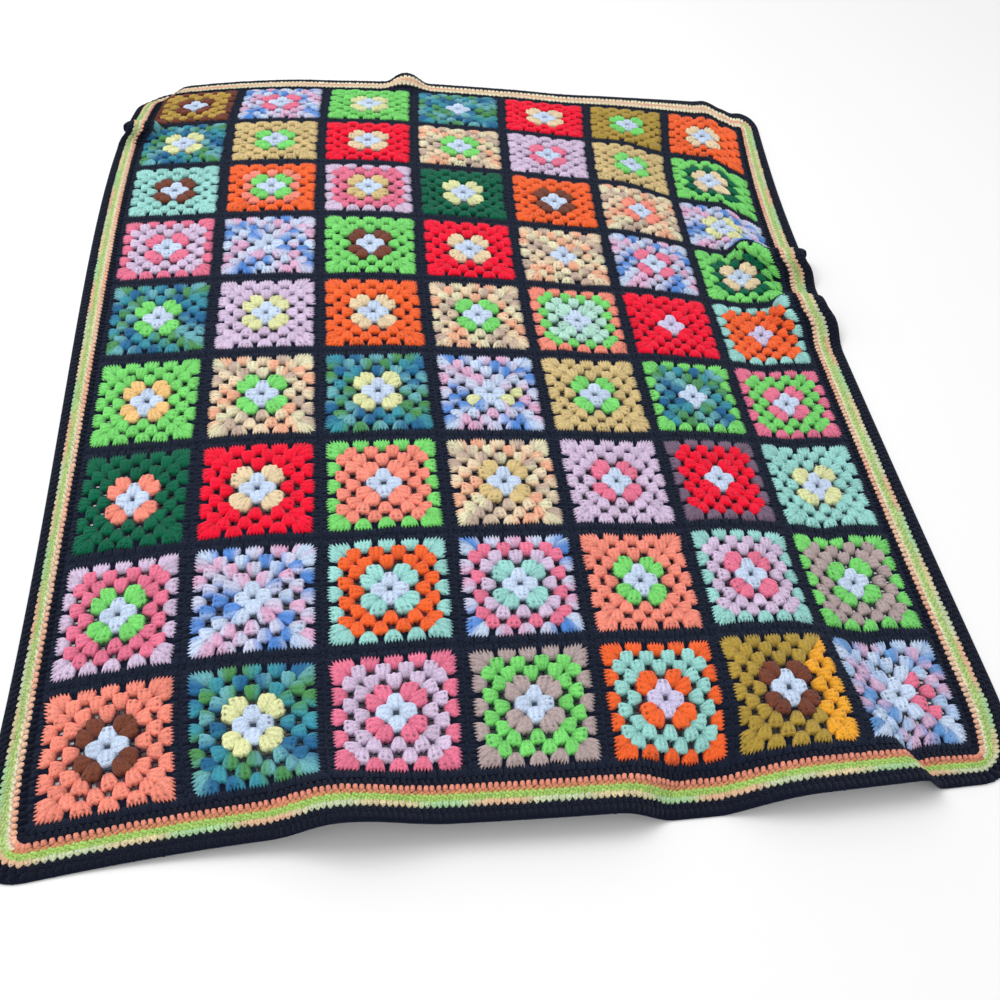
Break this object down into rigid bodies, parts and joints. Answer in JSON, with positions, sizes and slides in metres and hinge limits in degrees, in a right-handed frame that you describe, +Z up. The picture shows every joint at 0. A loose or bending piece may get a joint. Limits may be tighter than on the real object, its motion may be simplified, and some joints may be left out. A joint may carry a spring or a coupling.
{
  "type": "granny square blanket",
  "caption": "Crocheted blanket of bright granny squares joined in navy-black yarn, with a striped border, lying loosely with a low swell and soft folds.",
  "frame": {"origin": "on the floor, at the middle of the bounding box of the blanket as it lies", "axes": "+X across the blanket, +Y along it towards its far end, +Z up out of the floor"},
  "size_m": [1.0789, 1.3862, 0.0475],
  "materials": {
    "mixed_bright_yarns": "matte worsted yarn in many bright colours, crocheted in clusters",
    "striped_yarns": "matte worsted yarn in coral, lime and variegated rounds",
    "navy_black_yarn": "matte navy-black worsted yarn with a faint fuzz"
  },
  "bodies": {
    "root": {"square_field": "mixed_bright_yarns", "striped_border": "striped_yarns", "outer_border": "navy_black_yarn"}
  },
  "joints": []
}
